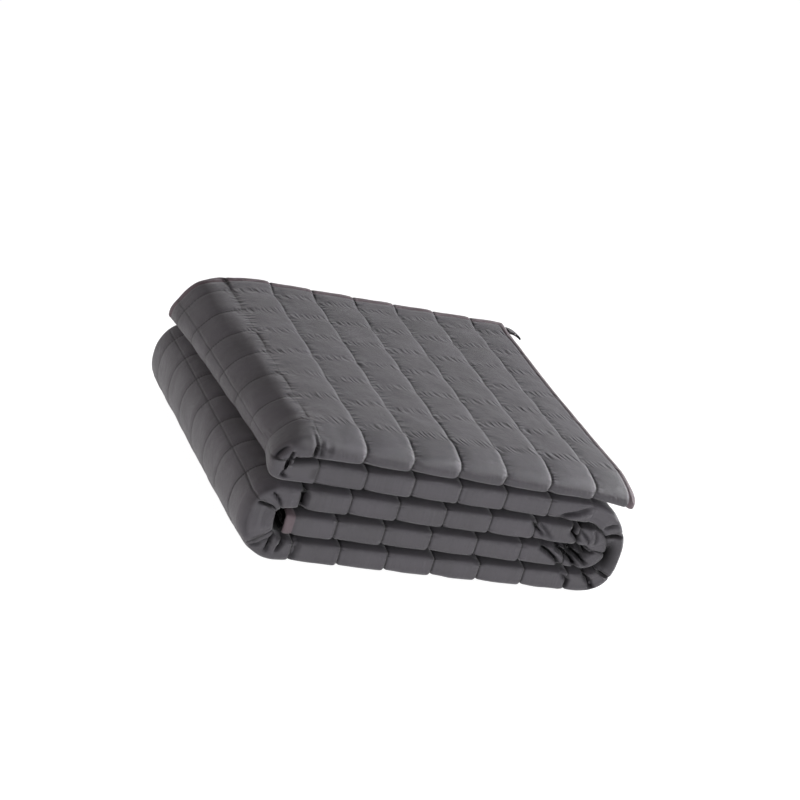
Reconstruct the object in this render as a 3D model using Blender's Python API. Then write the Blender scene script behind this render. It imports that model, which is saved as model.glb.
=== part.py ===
# A quilted weighted blanket, folded into a stack, with a tape loop at one corner.
#
# Metres, +Z up. The blanket is folded in half twice across its width, which makes a strip of four
# sheets with one rounded fold along its near side (-Y) and the hems along its far side (+Y). The
# strip is then folded along its length into five layers. Its open end lies on top, at +X.

import math
from collections import namedtuple

import bmesh
import bpy
from mathutils import Vector

# Driving dimensions
SQUARE = 0.050  # pitch of the quilting, both ways
LAYER = 0.0278  # height of one layer of the stack: four sheets and the gap above them
LAYER_GAP = 0.0016  # air between two layers
SHEET_GAP = 0.0008  # air between the four sheets of a layer
SEAM_DEPTH = 0.0036  # seams that run from the near side to the far side
CROSS_SEAM_DEPTH = 0.0028  # seams that run along the strip
HEM_END = 6.94 * SQUARE  # X of the open end on top, counted from the seam at X = 0
HEM_STITCH = 0.15 * SQUARE  # from a hem's edge to its stitching
NEAR_FOLD = -0.865 * SQUARE  # Y of the near folds' foremost line, counted from the row at Y = 0
FAR_EDGE = 6.65 * SQUARE  # Y of the far hems
ROWS = 6  # whole squares from the row at Y = 0 to the last one before the far hem
LEAN_RIGHT = -0.0085  # the stack gets this much lower for each square to the right
LEAN_AWAY = 0.0128  # and this much higher for each square away
DROOP_START = 5.6 * SQUARE  # X from which the open end sinks
DROOP_NEAR = 0.13 * SQUARE  # how far it has sunk at its near and far corners
DROOP_FAR = 0.0
OVERHANG_FROM = 0.5 * SQUARE  # the upper layers' left end sinks from here, before its turn's centre
OVERHANG = 0.62 * SQUARE  # from that turn's centre to the left end
OVERHANG_NEAR = 0.22 * SQUARE  # how far the left end has sunk at the near and far side
OVERHANG_FAR = 0.34 * SQUARE

SHEET = (LAYER - LAYER_GAP - 3 * SHEET_GAP) / 4
SHEET_PITCH = SHEET + SHEET_GAP
FACE = (LAYER - LAYER_GAP) / 2  # from a layer's middle to its quilted face
FOLD_Y = NEAR_FOLD + FACE  # centre of the near folds

# The layers, in the order in which the strip runs through them. level is the middle of the layer, in
# layers above the surface. first and last are the X of its first and last seam, in squares. sags
# names what sinks there: the open end, the overhanging left end, or neither.
LAYERS = [
    {"name": "top", "level": 4.5, "first": 6.0, "last": 0.0, "sags": ("open end", "overhang")},
    {"name": "second", "level": 3.5, "first": 0.15, "last": 6.15, "sags": ("overhang",)},
    {"name": "bottom", "level": 0.5, "first": 6.08, "last": 0.08, "sags": ()},
    {"name": "third", "level": 2.5, "first": 0.0, "last": 6.0, "sags": ()},
    {"name": "fourth", "level": 1.5, "first": 5.85, "last": 0.85, "sags": ()},
]

# The turns between them. near and far are the X of the turn's centre at the near and far side, in
# squares. radius is that of the strip's middle, in layers. outer is 1 where the face with the upper
# hem is outside, -1 where it is inside. squares and steps are the squares round the turn and the
# facets in each. squash is how square its lower half has become under the load (2 is round). thin
# is the share of its thickness that the strip keeps at the turn, and drawn is how far its far side
# is drawn in there, in squares.
TURNS = [
    {"name": "upper left", "near": -0.13, "far": -0.62, "level": 4.0, "radius": 0.5, "side": -1,
     "outer": 1, "squares": 2, "steps": 4, "squash": 2.0, "thin": 1.0, "drawn": 0.50,
     "sags": ("overhang",)},
    {"name": "outer right", "near": 6.17, "far": 6.05, "level": 2.0, "radius": 1.5, "side": 1,
     "outer": -1, "squares": 3, "steps": 3, "squash": 3.2, "thin": 0.9, "drawn": 0.0, "sags": ()},
    {"name": "lower left", "near": -0.20, "far": -0.36, "level": 1.5, "radius": 1.0, "side": -1,
     "outer": -1, "squares": 3, "steps": 3, "squash": 2.3, "thin": 1.0, "drawn": 0.10, "sags": ()},
    {"name": "inner right", "near": 6.20, "far": 6.08, "level": 2.0, "radius": 0.5, "side": 1,
     "outer": -1, "squares": 2, "steps": 4, "squash": 2.0, "thin": 1.0, "drawn": 0.0, "sags": ()},
]
LOOSE_END_NEAR = 0.0  # X of the tucked-in end at the near and far side, in squares
LOOSE_END_FAR = -0.2

# The tape loop at the far right top corner
TAPE = 0.0011  # thickness
TAPE_WIDTH = 0.010
LOOP_LENGTH = 0.014
LOOP_GAP = 0.0012  # inside the flattened loop
LOOP_IN = 0.017  # from the far hem to the loop's middle
LOOP_CLEAR = 0.0003  # between the loop and the hem that it is sewn to
LOOP_DROP = 0.45  # how steeply the loop hangs

FABRIC = {"name": "charcoal fabric", "color": (0.082, 0.078, 0.083), "roughness": 0.62}
TAPE_FABRIC = {"name": "black tape", "color": (0.016, 0.015, 0.017), "roughness": 0.8}

EDGE_ROUND = 0.0012  # rounding of the sheets' hems
SHARP_ANGLE = math.radians(60)
TRACE_POINTS = 48  # points along each turn that its even spacing is worked out from

# One place along the strip: its middle (x, z), the way to the face with the upper hem, the count of
# squares since a seam, the share of its thickness that the strip keeps there, how far its far side
# is drawn in and what sags there.
Station = namedtuple("Station", "middle up squares thin drawn sags")

# One point of the strip's section: its distance away and its height above the strip's middle, the
# way out of the cloth, and pillow: 0 on a cross seam, 1 between two, None where nothing is quilted.
SectionPoint = namedtuple("SectionPoint", "y n out pillow")


def clear_scene():
    for item in list(bpy.data.objects):
        bpy.data.objects.remove(item)


def mix(near, far, share):
    return near + (far - near) * share


def away(y):
    """How far a point lies from the near fold to the far hem, 0 to 1."""
    return (y - NEAR_FOLD) / (FAR_EDGE - NEAR_FOLD)


def between_seams(squares):
    """0 on a seam, 1 in the middle of a square."""
    return math.sin(math.pi * squares) ** 2


def turn_point(turn, centre_x, angle):
    """Middle of the strip, and the way out of the turn, at an angle from the top of the turn."""
    power = turn["squash"] if angle > math.pi / 2 else 2.0
    across = abs(math.sin(angle))
    upright = abs(math.cos(angle))
    sign = 1 if angle < math.pi / 2 else -1
    radius = turn["radius"] * LAYER
    point = Vector((centre_x + turn["side"] * radius * across ** (2 / power),
                    turn["level"] * LAYER + sign * radius * upright ** (2 / power)))
    out = Vector((turn["side"] * across ** (2 - 2 / power), sign * upright ** (2 - 2 / power)))
    return point, out.normalized()


def turn_trace(turn, before, after, share):
    """Closely spaced points from the last seam before a turn to the first seam after it."""
    centre_x = mix(turn["near"], turn["far"], share) * SQUARE
    trace = [turn_point(turn, centre_x, math.pi * i / TRACE_POINTS) for i in range(TRACE_POINTS + 1)]
    if before["level"] < turn["level"]:
        trace.reverse()
    lead_in = turn["side"] * (centre_x - before["last"] * SQUARE)
    lead_out = turn["side"] * (centre_x - after["first"] * SQUARE)
    if lead_in > 0:
        point, out = trace[0]
        trace.insert(0, (point - Vector((turn["side"] * lead_in, 0)), out))
    if lead_out > 0:
        point, out = trace[-1]
        trace.append((point - Vector((turn["side"] * lead_out, 0)), out))
    return trace


def turn_stations(turn, before, after, share):
    """Stations round a turn, evenly spaced along its outside, without the seams at its two ends."""
    trace = turn_trace(turn, before, after, share)
    outside = [point + out * FACE for point, out in trace]
    reach = [0.0]
    for start, end in zip(outside, outside[1:]):
        reach.append(reach[-1] + (end - start).length)

    count = turn["squares"] * turn["steps"]
    stations = []
    spot = 0
    for i in range(1, count):
        target = reach[-1] * i / count
        while reach[spot + 1] < target:
            spot += 1
        part = (target - reach[spot]) / (reach[spot + 1] - reach[spot])
        point = trace[spot][0].lerp(trace[spot + 1][0], part)
        out = trace[spot][1].lerp(trace[spot + 1][1], part).normalized()
        turned = math.sin(math.pi * i / count) ** 2
        thin = mix(1.0, turn["thin"], turned)
        drawn = turn["drawn"] * SQUARE * turned
        stations.append(Station(point, out * turn["outer"], i / turn["steps"], thin, drawn, turn["sags"]))
    return stations


def flat_station(x, layer, up, squares):
    return Station(Vector((x, layer["level"] * LAYER)), Vector((0, up)), squares, 1.0, 0.0, layer["sags"])


def layer_stations(layer, up):
    """Stations at each seam of a straight layer and halfway between the seams."""
    count = 2 * round(abs(layer["last"] - layer["first"]))
    stations = []
    for i in range(count + 1):
        x = mix(layer["first"], layer["last"], i / count) * SQUARE
        stations.append(flat_station(x, layer, up, i / 2))
    return stations


def open_end_stations():
    """From the hem at the open end on top to the first seam."""
    top = LAYERS[0]
    stitch = HEM_END - HEM_STITCH
    return [flat_station(HEM_END, top, 1, 0.5),
            flat_station(mix(HEM_END, stitch, 0.5), top, 1, 0.5),
            flat_station(stitch, top, 1, 0.0),
            flat_station(mix(stitch, top["first"] * SQUARE, 0.5), top, 1, 0.5)]


def loose_end_stations(share):
    """From the last seam to the hem of the end that is tucked into the lower left fold."""
    inmost = LAYERS[-1]
    end = mix(LOOSE_END_NEAR, LOOSE_END_FAR, share) * SQUARE
    return [flat_station(mix(inmost["last"] * SQUARE, end, 0.5), inmost, 1, 0.5),
            flat_station(end + HEM_STITCH, inmost, 1, 0.0),
            flat_station(end, inmost, 1, 0.5)]


def strip_stations(share):
    """The whole run of the strip at one distance from the near fold."""
    stations = open_end_stations()
    up = 1
    for number, layer in enumerate(LAYERS):
        stations += layer_stations(layer, up)
        if number < len(TURNS):
            stations += turn_stations(TURNS[number], layer, LAYERS[number + 1], share)
        up = -up
    return stations + loose_end_stations(share)


def fold_arc(centre_y, centre_n, radius, start, end, count):
    """Points round a fold of the section, from one angle to another, with their way out."""
    points = []
    for i in range(count + 1):
        angle = math.radians(mix(start, end, i / count))
        out = (math.cos(angle), math.sin(angle))
        points.append((centre_y + radius * out[0], centre_n + radius * out[1], out))
    return points


def row_points(n, from_row, to_row):
    """Points along a quilted face at each cross seam and halfway between."""
    count = 2 * abs(to_row - from_row)
    out = (0.0, math.copysign(1.0, n))
    points = []
    for i in range(count + 1):
        row = mix(from_row, to_row, i / count)
        points.append(SectionPoint(row * SQUARE, n, out, between_seams(row)))
    return points


def quilted_outline():
    """The quilted face, from the upper hem round the near fold and back to the far fold."""
    up = (0.0, 1.0)
    points = [SectionPoint(FAR_EDGE - EDGE_ROUND, FACE, up, 1.0),
              SectionPoint(FAR_EDGE - HEM_STITCH, FACE, up, 0.0)]
    points += row_points(FACE, ROWS, 0)
    steps = 6
    for i, (y, n, out) in enumerate(fold_arc(FOLD_Y, 0, FACE, 90, 270, steps)):
        along = (math.pi * FACE * i / steps - FOLD_Y) / SQUARE
        points.append(SectionPoint(y, n, out, between_seams(along)))
    return points + row_points(-FACE, 0, ROWS)


def strip_section():
    """Outline of the four sheets across the strip: one blanket, folded in half twice."""
    upper, inner_upper = 1.5 * SHEET_PITCH, 0.5 * SHEET_PITCH
    half = SHEET / 2
    thin_gap = SHEET_GAP / 2
    far_fold = (FAR_EDGE - SHEET - thin_gap, -SHEET_PITCH)
    hem_tip = FAR_EDGE - EDGE_ROUND

    points = quilted_outline()
    for y, n, out in fold_arc(*far_fold, SHEET + thin_gap, 270, 450, 4):
        points.append(SectionPoint(y, n, out, 1.0))
    hidden = fold_arc(FOLD_Y, 0, thin_gap, 270, 90, 2)
    hidden += [(hem_tip, inner_upper - half, None), (FAR_EDGE, inner_upper, None),
               (hem_tip, inner_upper + half, None)]
    hidden += fold_arc(FOLD_Y, 0, SHEET + thin_gap, 90, 270, 4)
    hidden += fold_arc(*far_fold, thin_gap, 450, 270, 2)
    hidden += fold_arc(FOLD_Y, 0, SHEET_PITCH + thin_gap, 270, 90, 4)
    hidden += [(hem_tip, upper - half, None), (FAR_EDGE, upper, None)]
    return points + [SectionPoint(y, n, (0.0, 0.0), None) for y, n, out in hidden]


def quilt_depth(station, point):
    """How far the quilting draws a point of a face in from the pillows' tops."""
    if point.pillow is None:
        return 0.0
    seam = SEAM_DEPTH * (1 - between_seams(station.squares))
    cross_seam = CROSS_SEAM_DEPTH * (1 - point.pillow)
    rests = station.middle.y < LAYER / 2 + LAYER_GAP / 4 and point.n < 0 and point.y >= FOLD_Y
    return 0.0 if rests else max(seam, cross_seam)


def settle(x, y, z, sags):
    """Lowers a point of an even stack by the stack's lean and by what sags."""
    base = LAYER_GAP / 2
    lean = 1 + (LEAN_RIGHT * x + LEAN_AWAY * y) / SQUARE
    z = base + (z - base) * lean
    if "open end" in sags and x > DROOP_START:
        reach = (x - DROOP_START) / (HEM_END - DROOP_START)
        z -= mix(DROOP_NEAR, DROOP_FAR, away(y)) * reach ** 2
    lead = OVERHANG_FROM * away(y)
    sink_from = mix(TURNS[0]["near"], TURNS[0]["far"], away(y)) * SQUARE + lead
    if "overhang" in sags and x < sink_from:
        z -= mix(OVERHANG_NEAR, OVERHANG_FAR, away(y)) * ((sink_from - x) / (OVERHANG + lead)) ** 2
    return Vector((x, y, z))


def strip_point(station, point):
    depth = quilt_depth(station, point)
    x, z = station.middle + station.up * (point.n - point.out[1] * depth) * station.thin
    y = point.y - point.out[0] * depth - station.drawn * away(point.y)
    return settle(x, y, z, station.sags)


def on_seam(pillow):
    return pillow is not None and pillow < 0.01


def make_blanket():
    section = strip_section()
    # one run of the strip for each distance from the near fold that the section uses
    runs = [strip_stations(away(point.y)) for point in section]
    mesh = bmesh.new()
    rings = []
    for place in range(len(runs[0])):
        rings.append([mesh.verts.new(strip_point(run[place], point)) for run, point in zip(runs, section)])
    for ring, following in zip(rings, rings[1:]):
        for i in range(len(ring)):
            j = (i + 1) % len(ring)
            mesh.faces.new((ring[i], following[i], following[j], ring[j]))
    mesh.faces.new(rings[0])
    mesh.faces.new(list(reversed(rings[-1])))

    # seams are creases in the shading
    for ring, station in zip(rings, runs[0]):
        if on_seam(between_seams(station.squares)):
            for i, point in enumerate(section[:-1]):
                if point.pillow is not None:
                    mesh.edges.get((ring[i], ring[i + 1])).smooth = False
    for i, point in enumerate(section):
        if on_seam(point.pillow):
            for ring, following in zip(rings, rings[1:]):
                mesh.edges.get((ring[i], following[i])).smooth = False
    return finish_mesh(mesh, "blanket", FABRIC)


def make_corner_loop():
    """A flattened loop of tape that hangs from the hem at the open end's far corner."""
    outer_radius = TAPE + LOOP_GAP / 2
    tip = LOOP_LENGTH - outer_radius
    outline = [(0.0, outer_radius)]
    outline += [(x, z) for x, z, out in fold_arc(tip, 0, outer_radius, 90, -90, 6)]
    outline += [(0.0, -outer_radius), (0.0, -LOOP_GAP / 2)]
    outline += [(x, z) for x, z, out in fold_arc(tip, 0, LOOP_GAP / 2, -90, 90, 4)]
    outline += [(0.0, LOOP_GAP / 2)]

    y_middle = FAR_EDGE - LOOP_IN
    n_top = SHEET_PITCH * 1.5
    hem = settle(HEM_END, y_middle, LAYERS[0]["level"] * LAYER + n_top, LAYERS[0]["sags"])
    mesh = bmesh.new()
    sides = []
    for y in (-TAPE_WIDTH / 2, TAPE_WIDTH / 2):
        side = []
        for x, z in outline:
            drop = LOOP_DROP * x * x / LOOP_LENGTH
            side.append(mesh.verts.new((hem.x + LOOP_CLEAR + x, y_middle + y, hem.z + z - drop)))
        sides.append(side)
    for i in range(len(outline)):
        j = (i + 1) % len(outline)
        mesh.faces.new((sides[0][i], sides[0][j], sides[1][j], sides[1][i]))
    mesh.faces.new(list(reversed(sides[0])))
    mesh.faces.new(sides[1])
    return finish_mesh(mesh, "corner_loop", TAPE_FABRIC)


def fabric_material(finish):
    material = bpy.data.materials.new(finish["name"])
    material.use_nodes = True
    shader = material.node_tree.nodes["Principled BSDF"]
    shader.inputs["Base Color"].default_value = (*finish["color"], 1.0)
    shader.inputs["Roughness"].default_value = finish["roughness"]
    shader.inputs["Metallic"].default_value = 0.0
    return material


def finish_mesh(mesh, name, finish):
    bmesh.ops.recalc_face_normals(mesh, faces=mesh.faces)
    for face in mesh.faces:
        face.smooth = True
    for edge in mesh.edges:
        if edge.calc_face_angle() > SHARP_ANGLE:
            edge.smooth = False
    data = bpy.data.meshes.new(name)
    mesh.to_mesh(data)
    mesh.free()
    data.materials.append(fabric_material(finish))
    item = bpy.data.objects.new(name, data)
    bpy.context.scene.collection.objects.link(item)
    return item


def stand_on_origin(items):
    """Puts the origin under the middle of the whole part, on the surface that it rests on."""
    points = [vertex.co for item in items for vertex in item.data.vertices]
    low = Vector(min(point[axis] for point in points) for axis in range(3))
    high = Vector(max(point[axis] for point in points) for axis in range(3))
    shift = Vector((-(low.x + high.x) / 2, -(low.y + high.y) / 2, -low.z))
    for item in items:
        for vertex in item.data.vertices:
            vertex.co += shift


def main():
    clear_scene()
    stand_on_origin([make_blanket(), make_corner_loop()])


main()
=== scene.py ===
import math
import bpy
import numpy as np
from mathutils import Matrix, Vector


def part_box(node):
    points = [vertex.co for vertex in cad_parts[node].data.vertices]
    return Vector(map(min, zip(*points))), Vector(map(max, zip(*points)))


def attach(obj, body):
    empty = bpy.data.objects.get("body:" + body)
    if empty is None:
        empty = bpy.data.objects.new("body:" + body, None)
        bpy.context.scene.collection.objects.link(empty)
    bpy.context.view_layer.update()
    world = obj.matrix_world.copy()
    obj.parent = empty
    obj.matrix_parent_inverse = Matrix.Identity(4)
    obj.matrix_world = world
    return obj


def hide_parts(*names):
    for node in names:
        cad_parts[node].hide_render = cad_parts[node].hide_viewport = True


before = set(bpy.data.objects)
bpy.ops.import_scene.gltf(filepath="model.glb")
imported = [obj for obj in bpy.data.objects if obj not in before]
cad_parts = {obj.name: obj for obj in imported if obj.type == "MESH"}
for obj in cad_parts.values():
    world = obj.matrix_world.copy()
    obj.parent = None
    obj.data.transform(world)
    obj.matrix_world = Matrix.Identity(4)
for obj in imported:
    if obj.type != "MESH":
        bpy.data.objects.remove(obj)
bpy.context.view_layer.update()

# The folded blanket. Lengths along and across the cloth are counted in squares of its quilting:
# u runs along the folded strip from the open end's hem, v runs across it from the upper hem, over
# the near fold and back. Seams lie where u or v is whole.
cloth = {
    "square": 0.050,  # metres, both ways
    "layer": 0.0278,  # height of one layer of the stack
    "layerGap": 0.0016,
    "sheetGap": 0.0008,
    "hemEnd": 6.94,  # X of the open end, in squares from the seam at u = 7
    "hemStitch": 0.16,  # from a hem's edge to its stitching, in squares
    "nearFold": -0.865,  # Y of the near folds' foremost line, in squares from the row at v = 7
    "farEdge": 6.65,
    "leanRight": -0.0085,  # growth of the stack's height for each square to the right, as a share
    "leanAway": 0.0128,  # for each square away
    "twist": 0.00093,  # and for both together
    "hemBow": 0.06,  # how far the open end bulges out at its near corner, in squares
    "hemIn": 0.09,  # how far it draws in towards its far corner
    "hemInTo": 0.6,  # and the share of its length over which that grows
    "hemHollow": 0.03,  # how far it draws in halfway
    "hemReach": 2.0,  # all this within so many squares of the hem
    "loopGap": 0.0003,  # from the open end's hem to the tape loop
    "loopIn": 0.34,  # from the far hem to the loop's middle, in squares
}

# What sinks in the stack, in squares: the open end's near corner, the upper left fold, whose top
# slopes down from its first seam on, and the far left corner.
sag = {
    "openFrom": 5.6,  # X from which the open end sinks
    "openTo": 3.0,  # in these first squares of the strip
    "openNear": 0.10,
    "firstNear": 0.03,  # drop at the left fold's first seam, near and far
    "firstFar": 0.06,
    "slopeNear": 0.48,  # drop for each square beyond that seam, near and far
    "slopeFar": 0.54,
    "nearRound": 1.25,  # how rounded the slope is, 1 is straight
    "farRound": 1.65,
    "roundFrom": 0.4,  # share of the depth from which the slope gets as round as at the far side
    "leftTo": 12.0,  # in these first squares of the strip
    "cornerFrom": 0.5,  # squares left of the seam, and share of the depth, where the corner starts
    "cornerDeep": 0.7,
    "corner": 0.05,
}

# The strip's layers and the turns between them, in the order in which the strip runs through them.
# level is in layers above the surface, first and last are the X of the first and last seam, and up
# is 1 where the upper hem's sheet lies uppermost in its layer.
layers = [
    {"level": 4.5, "first": 6.0, "last": 0.0, "up": 1},  # the top layer
    {"level": 3.5, "first": 0.15, "last": 6.15, "up": -1},  # the second
    {"level": 0.5, "first": 6.08, "last": 0.08, "up": 1},  # the bottom layer
    {"level": 2.5, "first": 0.0, "last": 6.0, "up": -1},  # the third
    {"level": 1.5, "first": 5.85, "last": 0.85, "up": 1},  # the fourth
]

# A turn's tip, near and far are the X of its middle at the near folds' tips, behind them and at the
# far side. outer is 1 where the upper hem's sheet is outermost in it, and true 1 or -1 where its
# first or last square keeps its length. shoulder and squash say how square its upper and lower half
# are, 2 is round. thinTip and thin are the thickness at its middle, at the tips and elsewhere.
turns = [
    # upper left
    {"tip": -0.31, "near": -0.08, "far": -0.50, "level": 4.0, "radius": 0.5,
     "side": -1, "outer": 1, "squares": 2, "true": 1, "shoulder": 2.0, "squash": 6.0,
     "thinTip": 0.94, "thin": 1.0},
    # outer right
    {"tip": 6.07, "near": 6.07, "far": 5.99, "level": 2.0, "radius": 1.5,
     "side": 1, "outer": -1, "squares": 3, "true": 0, "shoulder": 2.0, "squash": 3.8,
     "thinTip": 0.9, "thin": 0.9},
    # lower left
    {"tip": -0.17, "near": -0.29, "far": -0.34, "level": 1.5, "radius": 1.0,
     "side": -1, "outer": -1, "squares": 3, "true": -1, "shoulder": 2.8, "squash": 2.0,
     "thinTip": 1.41, "thin": 1.0},
    # inner right
    {"tip": 6.24, "near": 6.20, "far": 6.08, "level": 2.0, "radius": 0.5,
     "side": 1, "outer": -1, "squares": 2, "true": 0, "shoulder": 2.0, "squash": 2.0,
     "thinTip": 1.0, "thin": 1.0},
]
# where each of them starts and ends along the strip, and the loose end after the fourth layer
upperLeft, outerRight, lowerLeft, innerRight = (7, 9), (15, 18), (24, 27), (33, 35)
looseEnd = {"from": 40.0, "long": 0.85, "tip": -0.21, "near": -0.20, "far": 0.40}
tipReach = 0.16  # from the near edge, as a share of the stack's depth
linePoints = {"turn": 240, "square": 40}  # how closely the strip's middle line is spaced

# The near folds' outline. A power says how square it is, 2 is round. Pairs are from where to where
# something grows or fades, along the strip (u) or across it (v).
crowns = {
    "freePower": 2.0,  # the topmost fold's upper half, which is free
    "restPower": 3.6,  # its lower half, which rests on the fold below
    "pressedPower": 6.5,  # all the folds below it
    "slopeFrom": 0.02,  # Y from which the top layer slopes down to its near edge, in squares
    "slope": 0.22,
    "slopePower": 1.35,
    "slopeMost": 1.1,
    "slopeFades": (6.8, 7.6),  # u
    "scallop": 0.03,  # how far the top's seams bulge to the right between the lines across
    "kink": 0.05,  # and how far on the near fold
    "kinkGrows": (6.95, 7.15),  # v
    "kinkFades": (7.6, 8.5),  # v
    "kinkBack": 1.6,  # how far it swings back, as a share of the kink
    "bulgeGrows": (0.5, 1.0),  # u
    "bulgeFades": (7.1, 7.5),  # u
}

# Creases on the near folds' front. Each runs from one place on the cloth to another.
# Its width is in squares, its depth in millimetres, and a ridge has a depth below 0. A crease is
# pressed into the quilted face alone, a dent moves all the sheets of its layer.
creaseColumns = ("fromAlong", "fromAcross", "toAlong", "toAcross", "width", "depth")
creases = [
    # pleats at the near end of the upper left fold's first seam
    (7.10, 7.62, 7.04, 7.80, 0.035, 2.0),
    (7.04, 7.80, 7.02, 8.05, 0.035, 3.0),
    (6.97, 7.74, 6.89, 8.05, 0.035, 2.4),
    (6.79, 7.80, 6.72, 8.00, 0.040, 1.8),
    (7.17, 7.60, 7.12, 7.85, 0.050, -0.7),
    (7.04, 7.62, 6.97, 7.98, 0.025, -1.2),
    (6.86, 7.74, 6.80, 7.96, 0.030, -1.0),
    # the line along the lower left fold's foremost edge
    (25.15, 8.10, 25.70, 8.14, 0.030, 2.0),
    (25.70, 8.14, 26.10, 8.22, 0.030, 2.0),
    (26.10, 8.22, 26.42, 8.21, 0.030, 2.0),
]
dents = [
    # the upper left fold's eye and slit
    (7.98, 0.13, 7.66, 0.13, 0.035, 9.0),
    (7.62, -0.03, 7.87, -0.11, 0.032, 12.0),
    (7.87, -0.11, 8.37, -0.11, 0.038, 12.0),
    (8.37, -0.11, 8.64, 0.09, 0.032, 12.0),
    (7.60, 0.18, 7.50, 0.12, 0.040, -1.5),
    (7.03, 0.08, 7.01, -0.15, 0.040, 4.0),
    (6.92, 0.06, 6.87, -0.12, 0.035, 3.0),
    # the lower left fold's pillow, valley, pleat and slits
    (26.70, 0.02, 26.78, 0.00, 0.150, -3.5),
    (27.01, -0.20, 27.05, -0.07, 0.060, 13.0),
    (27.05, -0.07, 27.04, 0.17, 0.050, 12.0),
    (26.33, -0.12, 26.46, 0.04, 0.028, 7.0),
    (26.46, 0.04, 26.53, 0.16, 0.028, 7.0),
    (26.25, -0.10, 26.40, 0.08, 0.028, -2.0),
    (26.54, -0.04, 26.61, 0.12, 0.028, -2.0),
    (25.93, -0.10, 26.01, 0.02, 0.025, 9.0),
    (26.01, 0.02, 26.17, 0.15, 0.025, 9.0),
    (25.20, 0.04, 25.60, 0.04, 0.140, -2.5),
    (24.76, 0.17, 24.63, 0.08, 0.035, 10.0),
    (24.63, 0.08, 24.56, -0.07, 0.035, 10.0),
    (24.20, 0.19, 24.29, 0.00, 0.035, 10.0),
    (24.44, 0.17, 24.42, -0.05, 0.040, -2.0),
    (24.92, -0.16, 24.83, -0.06, 0.022, 4.0),
    (24.83, -0.06, 24.80, 0.10, 0.022, 4.0),
    (23.88, 0.19, 23.96, -0.16, 0.040, 6.0),
    # the second layer's slanted fold and the outer right fold's creases and hollow
    (14.31, 0.15, 14.59, 0.05, 0.045, 5.0),
    (14.59, 0.05, 14.90, -0.12, 0.045, 4.0),
    (14.45, 0.18, 14.95, 0.02, 0.045, -1.5),
    (15.94, 0.18, 15.98, 0.07, 0.035, 9.0),
    (15.98, 0.07, 16.08, -0.14, 0.035, 9.0),
    (15.65, 0.12, 15.77, -0.12, 0.030, 6.0),
    (16.25, 0.12, 16.85, 0.12, 0.160, 8.0),
    (17.03, 0.18, 17.00, -0.12, 0.035, 7.0),
    (17.66, 0.20, 17.47, 0.04, 0.050, 11.0),
    (17.47, 0.04, 17.42, -0.18, 0.045, 11.0),
    (18.16, 0.16, 17.97, 0.02, 0.035, 5.0),
    (17.97, 0.02, 17.99, -0.14, 0.035, 5.0),
    # the inner right fold's small folds and loops, and the slits in the hollow below them
    (31.89, -0.18, 32.04, -0.04, 0.035, 6.0),
    (32.04, -0.04, 32.21, 0.08, 0.035, 5.0),
    (32.07, -0.18, 32.40, 0.12, 0.035, 4.0),
    (31.98, -0.18, 32.30, 0.10, 0.028, -1.5),
    (32.87, -0.19, 32.84, -0.06, 0.050, 8.0),
    (32.84, -0.06, 33.02, 0.10, 0.040, 7.0),
    (33.02, -0.13, 33.30, 0.15, 0.022, 5.0),
    (33.32, -0.16, 33.62, 0.05, 0.022, 4.5),
    (33.18, -0.15, 33.44, 0.10, 0.035, -2.0),
    (34.30, 0.14, 35.00, 0.10, 0.110, 5.0),
    (35.58, 0.17, 35.38, 0.09, 0.038, 10.0),
    (35.38, 0.09, 35.20, -0.03, 0.038, 10.0),
    (35.20, -0.03, 35.05, -0.18, 0.038, 10.0),
    (35.42, 0.18, 35.02, -0.12, 0.028, -2.0),
    (35.26, 0.19, 35.07, 0.13, 0.040, 11.0),
    (35.07, 0.13, 34.85, -0.03, 0.040, 11.0),
    (34.85, -0.03, 34.72, -0.17, 0.040, 11.0),
    (34.98, 0.20, 34.86, 0.14, 0.040, 11.0),
    (34.86, 0.14, 34.50, -0.10, 0.040, 10.0),
    (34.72, 0.20, 34.37, 0.18, 0.035, 9.0),
    (34.37, 0.18, 34.06, 0.06, 0.035, 8.0),
]
frontScale = 0.5  # what a square across the near folds counts for in a crease's width

# squares behind the near edge over which a dent fades out, and squares from a layer's middle over
# which it does so on the stack's outside
dentFades = {"behind": (0.1, 0.7), "outside": (0.10, 0.20)}
outsideReach = {"before": 0.2, "dents": 0.2, "shade": 0.3}  # squares beyond the outer wrap's turns

# How much painted shade darkens the creases, the gaps between the layers and the folds' insides. Pairs
# are from where to where it grows or fades, in squares.
creaseShade = {
    "crease": 6.0,  # a crease this deep, in millimetres, is quite dark
    "dent": 8.0,  # and a dent this deep
    "dentEdge": 0.3,  # squares over which a dent's shade fades out behind the near fold
    "gap": (0.36, 0.60),  # from the near fold's foremost line, along the cloth
    "under": (0.10, 0.28),  # the same where the cloth turns down
    "gapMost": 1.4,
    "inside": (1.5, 3.0),  # from the near edge, inside the lower left fold
    "insideReach": 0.1,  # squares beyond its turn, and the v up to which it is shaded
    "insideTo": 7.2,
    "looseFrom": 40.3,  # u, and squares from the foremost line, of the shaded loose end
    "looseBehind": 1.1,
}

square = cloth["square"]
layerHeight = cloth["layer"]
sheetThick = (layerHeight - cloth["layerGap"] - 3 * cloth["sheetGap"]) / 4
sheetPitch = sheetThick + cloth["sheetGap"]
halfSheet = sheetThick / 2
faceOut = (layerHeight - cloth["layerGap"]) / 2
nearY = cloth["nearFold"] * square
farY = cloth["farEdge"] * square
foldY = nearY + faceOut

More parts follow.
